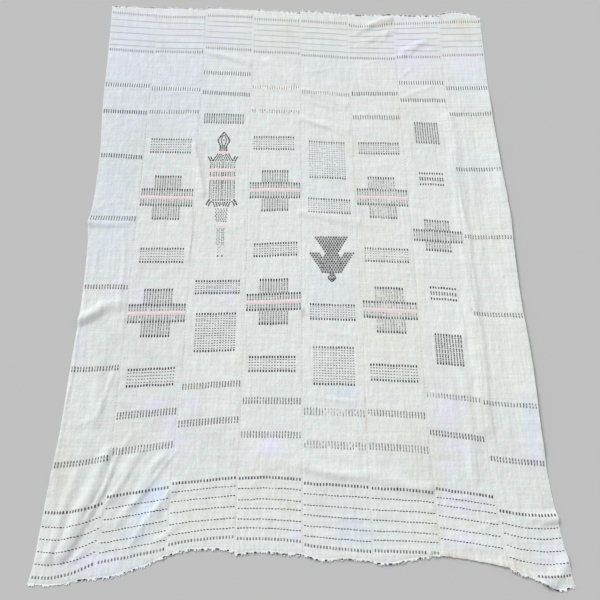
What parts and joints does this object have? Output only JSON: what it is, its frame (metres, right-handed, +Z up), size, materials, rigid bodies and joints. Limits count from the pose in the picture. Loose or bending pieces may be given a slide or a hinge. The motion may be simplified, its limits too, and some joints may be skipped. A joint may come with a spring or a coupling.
{
  "type": "strip-woven cotton cloth",
  "caption": "Cotton cloth of narrow hand-woven strips sewn edge to edge, lying nearly flat with soft folds, pulled near corners and raw ends.",
  "frame": {"origin": "middle of the cloth's outline, on the surface it lies on", "axes": "+X across the strips to the right, +Y along the strips to the far end, +Z up"},
  "size_m": [1.0806, 1.5132, 0.01],
  "materials": {
    "strip_1_cotton": "matte",
    "strip_2_cotton": "matte",
    "strip_3_cotton": "matte",
    "strip_4_cotton": "matte",
    "strip_5_cotton": "matte",
    "strip_6_cotton": "matte",
    "strip_7_cotton": "matte",
    "strip_8_cotton": "matte"
  },
  "bodies": {
    "root": {"strip_1": "strip_1_cotton", "strip_2": "strip_2_cotton", "strip_3": "strip_3_cotton", "strip_4": "strip_4_cotton", "strip_5": "strip_5_cotton", "strip_6": "strip_6_cotton", "strip_7": "strip_7_cotton", "strip_8": "strip_8_cotton"}
  },
  "joints": []
}
